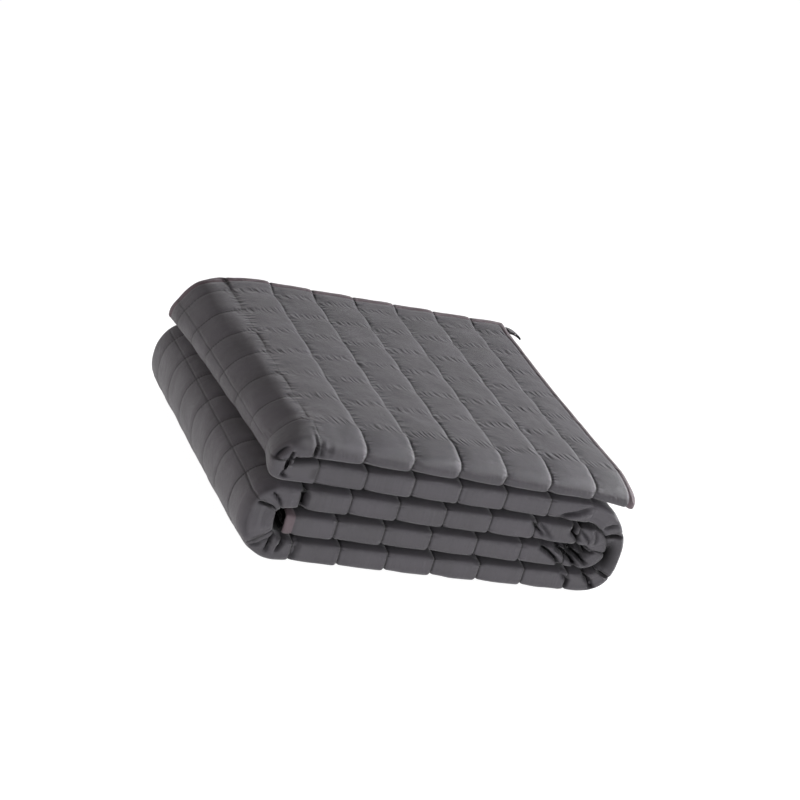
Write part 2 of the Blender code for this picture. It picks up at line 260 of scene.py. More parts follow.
# where the strip starts and ends, and the v at which the cloth changes from sheet to fold; Y is 0
# at v = 7 on the upper sheet and at v = 9 on the one below it, and v = 8 is foremost
vFront = 8
uStart = 7 - cloth["hemEnd"]
uEnd = looseEnd["from"] + looseEnd["long"]
vStart = 7 - cloth["farEdge"]
farFoldY = farY - sheetThick - cloth["sheetGap"] / 2
vCrown = 7 - foldY / square
vUnder = 9 + foldY / square
vFarFold = 9 + farFoldY / square
smallTurn = math.pi * sheetPitch / 2 / square
vInner = vFarFold + smallTurn
vInnerFold = vInner + (farFoldY - foldY) / square
vLast = vInnerFold + smallTurn
vEnd = vLast + (farY - foldY) / square

# the loop's box in the CAD gives the place of the open end's far corner
loopLow, loopHigh = (Vector(corner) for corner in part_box("corner_loop"))
placeX = loopLow.x - cloth["loopGap"] - cloth["hemEnd"] * square
placeY = (loopLow.y + loopHigh.y) / 2 - (cloth["farEdge"] - cloth["loopIn"]) * square
placeZ = -cloth["layerGap"] / 2


def mix(low, high, share):
    return low + (high - low) * share


def smooth(low, high, value):
    share = np.clip((value - low) / (high - low), 0, 1)
    return share * share * (3 - 2 * share)


# how deep the creases of a table are at a place, in millimetres
def creaseDepth(table, along, across, scale=1.0):
    depth = np.zeros(np.broadcast(along, across).shape)
    for row in table:
        crease = dict(zip(creaseColumns, row))
        lineAlong = crease["toAlong"] - crease["fromAlong"]
        lineAcross = (crease["toAcross"] - crease["fromAcross"]) * scale
        fromAlong = along - crease["fromAlong"]
        fromAcross = (across - crease["fromAcross"]) * scale
        part = fromAlong * lineAlong + fromAcross * lineAcross
        part = np.clip(part / (lineAlong ** 2 + lineAcross ** 2), 0, 1)
        away = np.hypot(fromAlong - part * lineAlong, fromAcross - part * lineAcross)
        away = away / crease["width"]
        # half as deep at its two ends
        taper = 1 - 0.5 * (2 * part - 1) ** 2
        depth = depth + crease["depth"] * taper * np.exp(-away ** 2)
    return depth


# the two layers in which the strip runs to the right, turned over
def runsRight(u):
    return ((u > upperLeft[1]) & (u < outerRight[0])) | ((u > lowerLeft[1]) & (u < innerRight[0]))


# the outer wrap, from the outer right turn to the lower left one and a little beyond
def inWrap(u, beyond):
    return (u > outerRight[0] - outsideReach["before"]) & (u < lowerLeft[1] + beyond)


# how much painted shade a fold's inside gets, by its distance from the near edge in squares
def insideShade(behind):
    return 1 - smooth(*creaseShade["inside"], behind)


# how much painted shade falls in the creases and between the layers, from 0 to 1
def shadeAt(u, v):
    inCreases = creaseDepth(creases, u, v, frontScale) / creaseShade["crease"]
    y, n = sectionAt(u, v)[:2]
    edge = creaseShade["dentEdge"]
    inDents = creaseDepth(dents, u, n / square) / creaseShade["dent"]
    inDents = inDents * smooth(vCrown - edge, vCrown, v) * (1 - smooth(vUnder, vUnder + edge, v))
    fromFront = np.abs(v - vFront)
    onTop = u < upperLeft[1]
    outside = (onTop & (v < vFront)) | (inWrap(u, outsideReach["shade"]) & (v > vFront))
    downwards = np.where(runsRight(u), vFront - v, v - vFront)
    gap = smooth(*creaseShade["gap"], fromFront)
    gap = np.maximum(gap, np.where(onTop, gap, smooth(*creaseShade["under"], downwards)))
    gap = np.where(outside | (fromFront > creaseShade["gapMost"]), 0, gap)
    # painted shade inside the lower left fold, and round the loose end in it
    nearFront = insideShade((y - nearY) / square)
    reach = creaseShade["insideReach"]
    inLowerLeft = (u > lowerLeft[0] - reach) & (u < lowerLeft[1] + reach)
    inLowerLeft = inLowerLeft & (v < creaseShade["insideTo"])
    roundLooseEnd = (u > creaseShade["looseFrom"]) & (fromFront > creaseShade["looseBehind"])
    gap = np.where(inLowerLeft | roundLooseEnd, nearFront, gap)
    return np.clip(np.maximum(inCreases + inDents, gap), 0, 1)


# points of a turn's middle line from the seam before it to the seam after it
def turnLine(turn, before, after, station):
    centreX = turn[station] * square
    angle = np.linspace(0, math.pi, linePoints["turn"])
    sign = np.where(angle < math.pi / 2, 1.0, -1.0)
    power = np.where(angle > math.pi / 2, turn["squash"], turn["shoulder"])
    across, upright = np.abs(np.sin(angle)), np.abs(np.cos(angle))
    radius = turn["radius"] * layerHeight
    x = centreX + turn["side"] * radius * across ** (2 / power)
    z = turn["level"] * layerHeight + sign * radius * upright ** (2 / power)
    outX = turn["side"] * across ** (2 - 2 / power)
    outZ = sign * upright ** (2 - 2 / power)
    if before["level"] < turn["level"]:
        x, z, outX, outZ = x[::-1], z[::-1], outX[::-1], outZ[::-1]
    # where a seam lies short of the turn, a straight stretch joins them
    start, end = before["last"] * square, after["first"] * square
    if turn["side"] * (centreX - start) > 0:
        x, z = np.r_[start, x], np.r_[z[0], z]
        outX, outZ = np.r_[outX[0], outX], np.r_[outZ[0], outZ]
    if turn["side"] * (centreX - end) > 0:
        x, z = np.r_[x, end], np.r_[z, z[-1]]
        outX, outZ = np.r_[outX, outX[-1]], np.r_[outZ, outZ[-1]]
    size = np.hypot(outX, outZ)
    return x, z, outX / size, outZ / size


# the strip's middle line at the near folds' tips, behind them or at the far side, closely spaced
def stripLine(station):
    rows = []
    perSquare = linePoints["square"]

    def addRun(u, x, z, upX, upZ, thin):
        rows.append(np.column_stack(np.broadcast_arrays(u, x, z, upX, upZ, thin)))

    u = uStart
    for number, layer in enumerate(layers):
        reach = abs(layer["last"] - layer["first"])
        first = layer["first"]
        # the top layer starts at the open end's hem
        if number == 0:
            reach, first = reach + 1 - uStart, cloth["hemEnd"]
        step = math.copysign(1, layer["last"] - layer["first"])
        along = np.linspace(0, reach, int(reach * perSquare) + 1)
        addRun(u + along, (first + step * along) * square, layer["level"] * layerHeight,
               0.0, layer["up"], 1.0)
        u += reach
        if number == len(turns):
            break
        turn = turns[number]
        x, z, outX, outZ = turnLine(turn, layer, layers[number + 1], station)
        outside = np.column_stack([x + outX * faceOut, z + outZ * faceOut])
        way = np.r_[0, np.cumsum(np.hypot(*np.diff(outside, axis=0).T))]
        part = way / way[-1]
        # the first (true 1) or the last (true -1) square of the turn keeps its true length
        one = square / way[-1]
        skew = turn["true"] * (1 - turn["squares"] * one) / (one - one * one)
        squares = turn["squares"] * part + skew * part * (1 - part)
        least = turn["thinTip"] if station == "tip" else turn["thin"]
        thin = mix(1.0, least, np.sin(math.pi * part) ** 2)
        inside = slice(1, -1)
        addRun((u + squares)[inside], x[inside], z[inside], (outX * turn["outer"])[inside],
               (outZ * turn["outer"])[inside], thin[inside])
        u += turn["squares"]
    part = np.linspace(0, 1, perSquare)[1:]
    endX = mix(layers[-1]["last"], looseEnd[station], part) * square
    addRun(looseEnd["from"] + part * looseEnd["long"], endX, layers[-1]["level"] * layerHeight,
           0.0, 1.0, 1.0)
    return np.vstack(rows).T


tipLine, nearLine, farLine = (stripLine(station) for station in ("tip", "near", "far"))


# the four sheets' middle surface: distance away, height above the strip's middle, way out
def sectionAt(u, v):
    half = sheetPitch / 2
    angle = math.pi * (0.5 + (v - vCrown) / (vUnder - vCrown))
    angleFar = math.pi * (1.5 + (v - vFarFold) / (vInner - vFarFold))
    angleIn = math.pi * (1.5 - (v - vInnerFold) / (vLast - vInnerFold))
    # the near folds are pressed flat, but less so the topmost, whose upper half is free
    topmost = np.where(v < vFront, crowns["freePower"], crowns["restPower"])
    power = np.where(u < upperLeft[0] + 1, topmost, crowns["pressedPower"])
    across, upright = np.abs(np.cos(angle)), np.abs(np.sin(angle))
    side = np.sign(np.sin(angle))
    crownY = foldY - 3 * half * across ** (2 / power)
    crownN = 3 * half * side * upright ** (2 / power)
    crownOutY, crownOutN = -across ** (2 - 2 / power), side * upright ** (2 - 2 / power)
    size = np.hypot(crownOutY, crownOutN)
    places = [v < vCrown, v < vUnder, v < vFarFold, v < vInner, v < vInnerFold, v < vLast]
    y = np.select(places, [(7 - v) * square, crownY, (v - 9) * square,
                           farFoldY + half * np.cos(angleFar), farFoldY - (v - vInner) * square,
                           foldY + half * np.cos(angleIn)], foldY + (v - vLast) * square)
    n = np.select(places, [3 * half, crownN, -3 * half,
                           -2 * half + half * np.sin(angleFar), -half,
                           half * np.sin(angleIn)], half)
    outY = np.select(places, [0, crownOutY / size, 0, np.cos(angleFar), 0, -np.cos(angleIn)], 0)
    outN = np.select(places, [1, crownOutN / size, -1, np.sin(angleFar), 1, -np.sin(angleIn)], -1)
    return y, n, outY, outN


# places of the cloth's points; offset is measured out of the middle surface, in metres
def clothPoints(u, v, offset):
    y, n, outY, outN = sectionAt(u, v)
    share = (y - nearY) / (farY - nearY)
    tip, near, far = ([np.interp(u, line[0], column) for column in line[1:]]
                      for line in (tipLine, nearLine, farLine))
    atTip = smooth(tipReach, 0, share)
    x, z, upX, upZ, thin = [mix(mix(b, c, share), a, atTip) for a, b, c in zip(tip, near, far)]
    size = np.hypot(upX, upZ)
    upX, upZ = upX / size, upZ / size
    height = (n + outN * offset) * thin
    x, z = x + upX * height, z + upZ * height
    y = y + outY * offset

    # the top's seams bulge to the right between the lines across, most on the near fold
    bulge = crowns["scallop"] * np.sin(math.pi * (np.clip(v, vStart, 7) % 1)) * (v < 7)
    back = 1 - crowns["kinkBack"] * smooth(*crowns["kinkFades"], v)
    bulge = bulge + crowns["kink"] * smooth(*crowns["kinkGrows"], v) * back
    bulge = bulge * (v < 9) * smooth(*crowns["bulgeGrows"], u) * (1 - smooth(*crowns["bulgeFades"], u))
    x = x + square * bulge

    # dents reach all the sheets of a layer, and fade out towards the stack's outline
    behind = (y - nearY) / square
    inSlope = (u > upperLeft[0] + outsideReach["dents"]) & (u < upperLeft[1])
    outside = (inWrap(u, outsideReach["dents"]) & (n < 0)) | (inSlope & (n > 0))
    fade = np.where(outside, 1 - smooth(*dentFades["outside"], np.abs(n) / square), 1)
    fade = fade * (1 - smooth(*dentFades["behind"], behind))
    y = y + 0.001 * creaseDepth(dents, u, n / square) * fade

    # the topmost near fold slopes down to its edge, its upper side by the whole slope
    nearing = (crowns["slopeFrom"] - y / square) / (crowns["slopeFrom"] - cloth["nearFold"])
    nearing = np.clip(nearing, 0, crowns["slopeMost"])
    upper = np.clip(0.5 + n / sheetPitch / 4, 0, 1) * (1 - smooth(*crowns["slopeFades"], u))
    z = z - crowns["slope"] * square * nearing ** crowns["slopePower"] * upper

    # the stack's lean
    base = cloth["layerGap"] / 2
    lean = cloth["leanRight"] * x + cloth["leanAway"] * y + cloth["twist"] * x * y / square
    z = base + (z - base) * (1 + lean / square)

    # the open end's near corner sinks
    share = (y - nearY) / (farY - nearY)
    reach = (x / square - sag["openFrom"]) / (cloth["hemEnd"] - sag["openFrom"])
    sinks = sag["openNear"] * square * (1 - share) * np.maximum(reach, 0) ** 2
    z = z - np.where(u < sag["openTo"], sinks, 0)

    # the upper left fold's slope, which the two upper layers share
    left = -x / square
    first = mix(sag["firstNear"], sag["firstFar"], share) * np.clip(1 + left, 0, 1) ** 2
    rounded = mix(sag["nearRound"], sag["farRound"], smooth(sag["roundFrom"], 1.0, share))
    slope = mix(sag["slopeNear"], sag["slopeFar"], share) * np.clip(left, 0, 2) ** rounded
    sinks = (first + slope) * square * np.clip((z / layerHeight - 3) / 2, 0, 1)
    z = z - np.where(u < sag["leftTo"], sinks, 0)

    # the far left corner, less and less towards the bottom
    corner = np.clip((left - sag["cornerFrom"]) / (1 - sag["cornerFrom"]), 0, 1.2) ** 2
    corner = corner * smooth(sag["cornerDeep"], 1.0, share) * np.clip(z / layerHeight / 1.5 - 1, 0, 1)
    z = z - sag["corner"] * square * corner

    # the open end's bow
    bow = cloth["hemBow"] * (1 - share) ** 2 - cloth["hemIn"] * smooth(0, cloth["hemInTo"], share)
    bow = bow - cloth["hemHollow"] * np.sin(math.pi * np.clip(share, 0, 1))
    x = x + bow * square * smooth(cloth["hemReach"], uStart, u)
    return np.column_stack([x + placeX, y + placeY, z + placeZ])


# parameters from low to high, closer together towards the seams
def spread(low, high, steps, crowded):
    places = []
    edge = low
    while edge < high - 1e-9:
        following = min(math.floor(edge + 1e-9) + 1, high)
        count = max(1, round(steps * (following - edge)))
        part = np.arange(count) / count
        places += list(edge + (following - edge) * (part - crowded * np.sin(2 * math.pi * part)))
        edge = following
    return places + [high]


# all the places of some runs, in order and each only once
def joinPlaces(*runs):
    places = np.concatenate([np.asarray(run, float) for run in runs])
    return np.unique(np.round(places, 5))


# soft unevenness from 0 to 1, on a lattice with a pitch of 1
def unevenness(a, b, seed):
    many = 96
    lattice = np.random.default_rng(seed).random((many, many))
    i, j = np.floor(a).astype(int), np.floor(b).astype(int)
    s, t = smooth(0, 1, a - i), smooth(0, 1, b - j)

    def row(k):
        return mix(lattice[(i + k) % many, j % many], lattice[(i + k) % many, (j + 1) % many], t)

    return mix(row(0), row(1), s)


# How the quilting shows in each part of the cloth. seam and cross are the depths in millimetres of
# the seams along v and along u. Going right, a pillow rises softly to its ridge, which is the share
# peak of a square away, and falls steeply to the next seam. rise is the power of its rise, line and
# crossLine are the depths of the stitched grooves.
quilting = {
    "top": {"seam": 4.3, "rise": 1.9, "peak": 0.80, "cross": 0.35, "line": 1.3, "crossLine": 0.0},
    "crown": {"seam": 3.8, "rise": 2.4, "peak": 0.84, "cross": 0.6, "line": 1.4, "crossLine": 0.0},
    "pressed": {"seam": 1.7, "rise": 3.2, "peak": 0.88, "cross": 0.2, "line": 1.3, "crossLine": 0.0},
    "turn": {"seam": 0.3, "rise": 2.0, "peak": 0.50, "cross": 0.3, "line": 0.2, "crossLine": 0.8},
}

# Where these parts meet, and what else shapes the pillows. Pairs are from where to where something
# grows or fades, in squares along (u) or across the cloth (v).
pillows = {
    "crownStarts": (6.85, 7.25),  # v
    "crownEnds": (8.8, 9.2),  # v
    "crownTurns": (7.9, 8.3),  # v, from the crown's upper half to its pressed lower half
    "topEnds": (8.5, 9.5),  # u, from the top layer's crown to the pressed ones below it
    "leftEnds": (9.0, 9.3),  # u, at the upper left fold's last seam
    "turnSoft": 0.2,  # squares to either side of a lower turn's first and last seam
    "turnOnCrown": 0.6,  # what is left of a lower turn's quilting on its near fold
    "fall": 2.2,  # the power of a pillow's fall
    "panelFall": 1.5,  # and of the panel's after the upper left fold's first seam
    "pleated": 0.85,  # how far this seam fades out at its near end, where pleats take over
    "pleatedAcross": (6.7, 7.15),  # v
    "pleatedAlong": (0.3, 0.6),  # from the seam
    "hemRises": (0.05, 0.5),  # from the far hem
    "hemShare": 0.25,  # what is left of the pillows there
    "uneven": 0.6,  # how much the depth of cross differs between squares, as a share
    "lumps": 0.9,  # soft unevenness in millimetres, and how often it comes in a square
    "lumpPitch": (2.3, 1.9),
    "smallLumps": 0.5,
    "smallPitch": (5.1, 4.3),
    "least": -3.0,  # the highest ridge and the deepest groove, in millimetres
    "most": 5.0,
}
seeds = {"squares": 3, "lumps": 5, "smallLumps": 6}
grooveWidth = 0.022  # squares
hemGroove = 1.3  # millimetres
hemGrooveWidth = 0.033


# how far a point of the quilted face lies in from the pillows' tops, as a negative height
def quiltRelief(u, v):
    def onLowerTurn(first, last):
        soft = pillows["turnSoft"]
        return smooth(first - soft, first + soft, u) * (1 - smooth(last - soft, last + soft, u))

    onTop = u < upperLeft[1]
    onCrown = smooth(*pillows["crownStarts"], v) * (1 - smooth(*pillows["crownEnds"], v))
    pressed = np.maximum(smooth(*pillows["topEnds"], u), smooth(*pillows["crownTurns"], v))
    leftTurn = (u >= upperLeft[0]) * (1 - smooth(*pillows["leftEnds"], u))
    onTurn = np.maximum.reduce([leftTurn, onLowerTurn(*outerRight), onLowerTurn(*lowerLeft)])
    onTurn = onTurn * np.where(onTop, 1, mix(1, pillows["turnOnCrown"], onCrown))
    share = {"top": (1 - onCrown) * (1 - onTurn), "crown": onCrown * (1 - pressed) * (1 - onTurn),
             "pressed": onCrown * pressed * (1 - onTurn), "turn": onTurn}

    def zone(name):
        return sum(share[part] * quilting[part][name] for part in share)

    uneven = unevenness(np.floor(u) * 1.37 + 3, np.floor(v) * 1.61 + 5, seeds["squares"])
    uneven = 1 + pillows["uneven"] * (uneven - 0.5)
    along = np.where(runsRight(u), u - np.floor(u), np.ceil(u) - u)
    peak = zone("peak")
    lift = np.where(along < peak, (1 - along / peak) ** zone("rise"),
                    ((along - peak) / (1 - peak)) ** pillows["fall"])
    fromSeam = np.abs(u - np.round(u))
    fromCross = np.abs(v - np.round(v))
    atHem = smooth(*pillows["hemRises"], v - vStart)
    faded = smooth(*pillows["pleatedAcross"], v)
    faded = faded * (1 - smooth(*pillows["pleatedAlong"], np.abs(u - upperLeft[0])))
    faded = 1 - pillows["pleated"] * faded
    drop = zone("seam") * lift * mix(pillows["hemShare"], 1.0, atHem) * faded
    # the upper left fold's panel goes on from the bottom of the seam where it starts
    panel = np.clip(upperLeft[0] + 1 - u, 0, 1) ** pillows["panelFall"] * (u >= upperLeft[0])
    drop = drop + quilting["top"]["seam"] * panel * faded
    drop = drop + uneven * zone("cross") * (1 - 2 * fromCross) ** 2
    a, b = pillows["lumpPitch"]
    drop = drop + pillows["lumps"] * unevenness(u * a + 7, v * b, seeds["lumps"])
    a, b = pillows["smallPitch"]
    drop = drop + pillows["smallLumps"] * unevenness(u * a, v * b, seeds["smallLumps"])

    fromHem = np.abs(np.minimum.reduce([u - uStart, uEnd - u, v - vStart]) - cloth["hemStitch"])
    line = zone("line") * np.exp(-(fromSeam / grooveWidth) ** 2) * faded
    crossLine = zone("crossLine") * np.where(onTop, 1 - onCrown, 1)
    line = np.maximum(line, crossLine * np.exp(-(fromCross / grooveWidth) ** 2))
    line = np.maximum(line, hemGroove * np.exp(-(fromHem / hemGrooveWidth) ** 2))
    relief = drop + line + creaseDepth(creases, u, v, frontScale)
    return -np.clip(relief, pillows["least"], pillows["most"]) * 0.001


# what is left of the sheet's thickness, which is rounded off at the hems
def hemRound(u, v):
    edge = np.minimum.reduce([u - uStart, uEnd - u, v - vStart, vEnd - v]) * square
    inward = np.clip(edge / halfSheet, 0, 1)
    return np.sqrt(1 - (1 - inward) ** 2)


restsReach = 0.1  # squares of the two outer turns that rest on the floor


# the quilted face is flat where it rests on the floor and where nothing of it shows
def quiltedOffset(u, v):
    rests = (u > outerRight[1] - restsReach) & (u < lowerLeft[0] + restsReach) & (v > vUnder)
    hidden = v > vFarFold
    relief = np.where(rests | hidden, 0.0, quiltRelief(u, v))
    return (halfSheet + relief) * hemRound(u, v)


# How finely the quilted face is divided, in steps for each square. levels are the steps up half a
# near fold's front, turn the points round a fold between the sheets. A higher crowding brings the
# places closer to the seams.
detail = {"along": 20, "front": 16, "creased": 27, "across": 14, "flat": 9, "levels": 9, "turn": 4}
crowding = {"along": 0.10, "across": 0.06}
hemPlaces = np.array([0.0, 0.012, 0.035, 0.07, 0.105, 0.13, 0.15, 0.16, 0.17, 0.19, 0.22])

# the stretches along the strip, and those across it for each kind of row, that are finely divided
alongStretches = [
    (uStart, 6.6, "along"),
    (6.6, 9.2, "creased"),
    (9.2, 14.4, "front"),
    (14.4, 18.2, "creased"),
    (18.2, 23.8, "front"),
    (23.8, 27.2, "creased"),
    (27.2, 31.8, "front"),
    (31.8, 35.8, "creased"),
    (35.8, uEnd, "front"),
]
acrossStretches = {
    "top": [(vStart, 6, "flat"), (6, 9.4, "across")],
    "front": [(6.9, vCrown, "across"), (vUnder, 9.1, "across")],
    "turn": [(6.6, vCrown, "across"), (vUnder, 9.4, "across"), (9.4, vFarFold, "flat")],
}
topRowsTo = 9.4  # the rows are of the kind top up to this u
turnRows = [(14.7, 18.35), (23.65, 27.35)]  # and of the kind turn from here to there

# the inner face: squares from the rim of its first rows and of the rim itself, steps for each square
# on a turn and round a near fold
coarse = {"hem": np.array([0.07, 0.12]), "rim": 0.05, "turn": 6, "front": 9}


# places across a pressed near fold, evenly spaced up its front
def frontPlaces():
    level = np.linspace(-1, 1, 2 * detail["levels"] + 1)
    steep = np.sign(level) * np.abs(level) ** (crowns["pressedPower"] / 2)
    return vFront - (vUnder - vCrown) / math.pi * np.arcsin(steep)


# the places of a row across the cloth, with its finely divided stretches of v
def acrossPlaces(fine):
    inside = [(vFarFold, vInner), (vInner, vInnerFold), (vInnerFold, vLast), (vLast, vEnd)]
    everySecondSeam = np.arange(2, 16, 2)
    return joinPlaces(everySecondSeam, frontPlaces(), vStart + hemPlaces, vEnd - hemPlaces[::2],
                      *[np.linspace(low, high, detail["turn"]) for low, high in inside],
                      *[spread(low, high, detail[kind], crowding["across"])
                        for low, high, kind in fine])


def alongPlaces():
    return joinPlaces(uStart + hemPlaces, uEnd - hemPlaces,
                      *[spread(low, high, detail[kind], crowding["along"])
                        for low, high, kind in alongStretches])


# the kind of row at a place along the strip
def rowKind(u):
    if u < topRowsTo:
        return "top"
    return "turn" if any(low <= u <= high for low, high in turnRows) else "front"


# faces between two neighbouring rows, whose places may differ in number
def facesBetween(placesA, firstA, placesB, firstB):
    if len(placesA) == len(placesB) and np.allclose(placesA, placesB):
        i = np.arange(len(placesA) - 1)
        return [tuple(face) for face in np.column_stack([firstA + i, firstA + i + 1,
                                                         firstB + i + 1, firstB + i]).tolist()]
    shared = np.intersect1d(placesA, placesB)
    spotsA, spotsB = np.searchsorted(placesA, shared), np.searchsorted(placesB, shared)
    faces = []
    for k in range(len(shared) - 1):
        lower = [firstA + i for i in range(spotsA[k], spotsA[k + 1] + 1)]
        upper = [firstB + i for i in range(spotsB[k], spotsB[k + 1] + 1)]
        faces.append(tuple(lower + upper[::-1]))
    return faces


# those of the wanted places that are nearest among the given ones, without the rim's
def nearestOf(places, wanted, low, high):
    chosen = places[np.unique([np.argmin(np.abs(places - place)) for place in wanted])]
    return chosen[(chosen > low + coarse["rim"]) & (chosen < high - coarse["rim"])]


# the inner face's places along and across the cloth, all of which the quilted face has too
def coarsePlaces(along, choices):
    steps = coarse["turn"]
    wantedU = joinPlaces(np.arange(1, 41), uStart + coarse["hem"], uEnd - coarse["hem"],
                         *[np.arange(low * steps, high * steps + 1) / steps
                           for low, high in (upperLeft, outerRight, lowerLeft, innerRight)])
    common = np.intersect1d(choices["top"], choices["front"])
    common = np.intersect1d(common, choices["turn"])
    wantedV = joinPlaces(np.arange(1, 30), vStart + coarse["hem"], vEnd - coarse["hem"],
                         np.linspace(vCrown, vUnder, coarse["front"]),
                         np.linspace(vFarFold, vInner, detail["turn"]),
                         np.linspace(vInnerFold, vLast, detail["turn"]))
    return nearestOf(along, wantedU, uStart, uEnd), nearestOf(common, wantedV, vStart, vEnd)


def makeBlanket():
    print("folding the blanket")
    choices = {kind: acrossPlaces(fine) for kind, fine in acrossStretches.items()}
    along = alongPlaces()
    kinds = [rowKind(u) for u in along]
    rows = []
    for number, kind in enumerate(kinds):
        places = choices[kind]
        if number and kinds[number - 1] != kind:
            places = joinPlaces(places, choices[kinds[number - 1]])
        rows.append(places)

    firsts = np.r_[0, np.cumsum([len(places) for places in rows])]
    u = np.concatenate([np.full(len(places), a) for a, places in zip(along, rows)])
    v = np.concatenate(rows)
    points = clothPoints(u, v, quiltedOffset(u, v))
    faces = []
    for number in range(len(rows) - 1):
        faces += facesBetween(rows[number], firsts[number], rows[number + 1], firsts[number + 1])

    # the plain inner face is coarser and shares the quilted face's rim
    coarseU, coarseV = coarsePlaces(along, choices)
    innerU, innerV = (grid.ravel() for grid in np.meshgrid(coarseU, coarseV, indexing="ij"))
    innerFirst = len(points)
    innerPoints = clothPoints(innerU, innerV, -halfSheet * hemRound(innerU, innerV))

    lineU, lineV = np.r_[uStart, coarseU, uEnd], np.r_[vStart, coarseV, vEnd]
    lastU, lastV = len(lineU) - 1, len(lineV) - 1

    def rimSpot(a, b):
        number = int(np.argmin(np.abs(along - lineU[a])))
        return number, int(np.argmin(np.abs(rows[number] - lineV[b])))

    def spot(a, b):
        if a in (0, lastU) or b in (0, lastV):
            number, column = rimSpot(a, b)
            return int(firsts[number] + column)
        return innerFirst + (a - 1) * len(coarseV) + b - 1

    # from one corner to the next, with the rim's own vertices between where it is on the rim
    def edgeRun(start, end):
        (a, b), (c, d) = start, end
        run = [spot(a, b)]
        if a == c and a in (0, lastU):
            number, low = rimSpot(a, b)
            high = rimSpot(c, d)[1]
            step = 1 if high > low else -1
            run += [int(firsts[number] + k) for k in range(low + step, high, step)]
        if b == d and b in (0, lastV):
            low, high = rimSpot(a, b)[0], rimSpot(c, d)[0]
            step = 1 if high > low else -1
            for number in range(low + step, high, step):
                run.append(int(firsts[number] + (0 if b == 0 else len(rows[number]) - 1)))
        return run

    for a in range(lastU):
        for b in range(lastV):
            corners = [(a, b), (a + 1, b), (a + 1, b + 1), (a, b + 1)]
            outline = []
            for k in range(4):
                outline += edgeRun(corners[k], corners[(k + 1) % 4])
            faces.append(tuple(outline))

    mesh = bpy.data.meshes.new("blanket")
    mesh.from_pydata(np.vstack([points, innerPoints]).tolist(), [], faces)
    mesh.validate()
    mesh.shade_smooth()
    # painted shade for the colour, one value for each point
    shades = mesh.attributes.new("shade", "FLOAT", "POINT")
    # the inner face gets painted shade from the lower left fold on
    behind = (innerPoints[:, 1] - placeY - nearY) / square
    innerShade = (innerU > lowerLeft[0]) * insideShade(behind)
    shades.data.foreach_set("value", np.r_[shadeAt(u, v), innerShade])
    quilt = mesh.uv_layers.new(name="quilt")
    quiltU, quiltV = np.r_[u, innerU], np.r_[v, innerV]
    spots = np.empty(len(mesh.loops), dtype=np.int32)
    mesh.loops.foreach_get("vertex_index", spots)
    quilt.data.foreach_set("uv", np.column_stack([quiltU[spots], quiltV[spots]]).ravel())
    item = bpy.data.objects.new("folded_blanket", mesh)
    bpy.context.scene.collection.objects.link(item)
    triangles = sum(len(face) - 2 for face in faces)
    print("blanket has", triangles, "triangles")
    return item


# short helpers for shader nodes
class NodeSheet:
    def __init__(self, name):
        self.material = bpy.data.materials.new(name)
        self.material.use_nodes = True
        self.nodes = self.material.node_tree.nodes
        self.links = self.material.node_tree.links
        self.shader = self.nodes["Principled BSDF"]

    def put(self, socket, value):
        if isinstance(value, bpy.types.NodeSocket):
            self.links.new(value, socket)
        elif value is not None:
            socket.default_value = value

    def calc(self, operation, first, second=None):
        node = self.nodes.new("ShaderNodeMath")
        node.operation = operation
        for socket, value in zip(node.inputs, (first, second)):
            self.put(socket, value)
        return node.outputs[0]

    def vector(self, x, y):
        node = self.nodes.new("ShaderNodeCombineXYZ")
        for socket, value in zip(node.inputs, (x, y)):
            self.put(socket, value)
        return node.outputs[0]

    def noise(self, place, scale, detailLevel=2.0, roughness=0.5):
        node = self.nodes.new("ShaderNodeTexNoise")
        node.noise_dimensions = "2D"
        self.put(node.inputs["Vector"], place)
        node.inputs["Scale"].default_value = scale
        node.inputs["Detail"].default_value = detailLevel
        node.inputs["Roughness"].default_value = roughness
        return node.outputs["Fac"]

    def centred(self, value):
        return self.calc("SUBTRACT", value, 0.5)

    def ramp(self, value, low, high, fromValue=0.0, toValue=1.0):
        node = self.nodes.new("ShaderNodeMapRange")
        node.interpolation_type = "SMOOTHSTEP"
        self.put(node.inputs["Value"], value)
        node.inputs["From Min"].default_value = low
        node.inputs["From Max"].default_value = high
        node.inputs["To Min"].default_value = fromValue
        node.inputs["To Max"].default_value = toValue
        return node.outputs["Result"]

    def blend(self, share, first, second):
        node = self.nodes.new("ShaderNodeMix")
        node.data_type = "RGBA"
        self.put(node.inputs["Factor"], share)
        for socket, value in zip(node.inputs[6:8], (first, second)):
            self.put(socket, value if isinstance(value, bpy.types.NodeSocket) else (*value, 1.0))
        return node.outputs[2]

    def bump(self, height, distance, normal=None):
        node = self.nodes.new("ShaderNodeBump")
        node.inputs["Distance"].default_value = distance
        self.put(node.inputs["Height"], height)
        self.put(node.inputs["Normal"], normal)
        return node.outputs["Normal"]


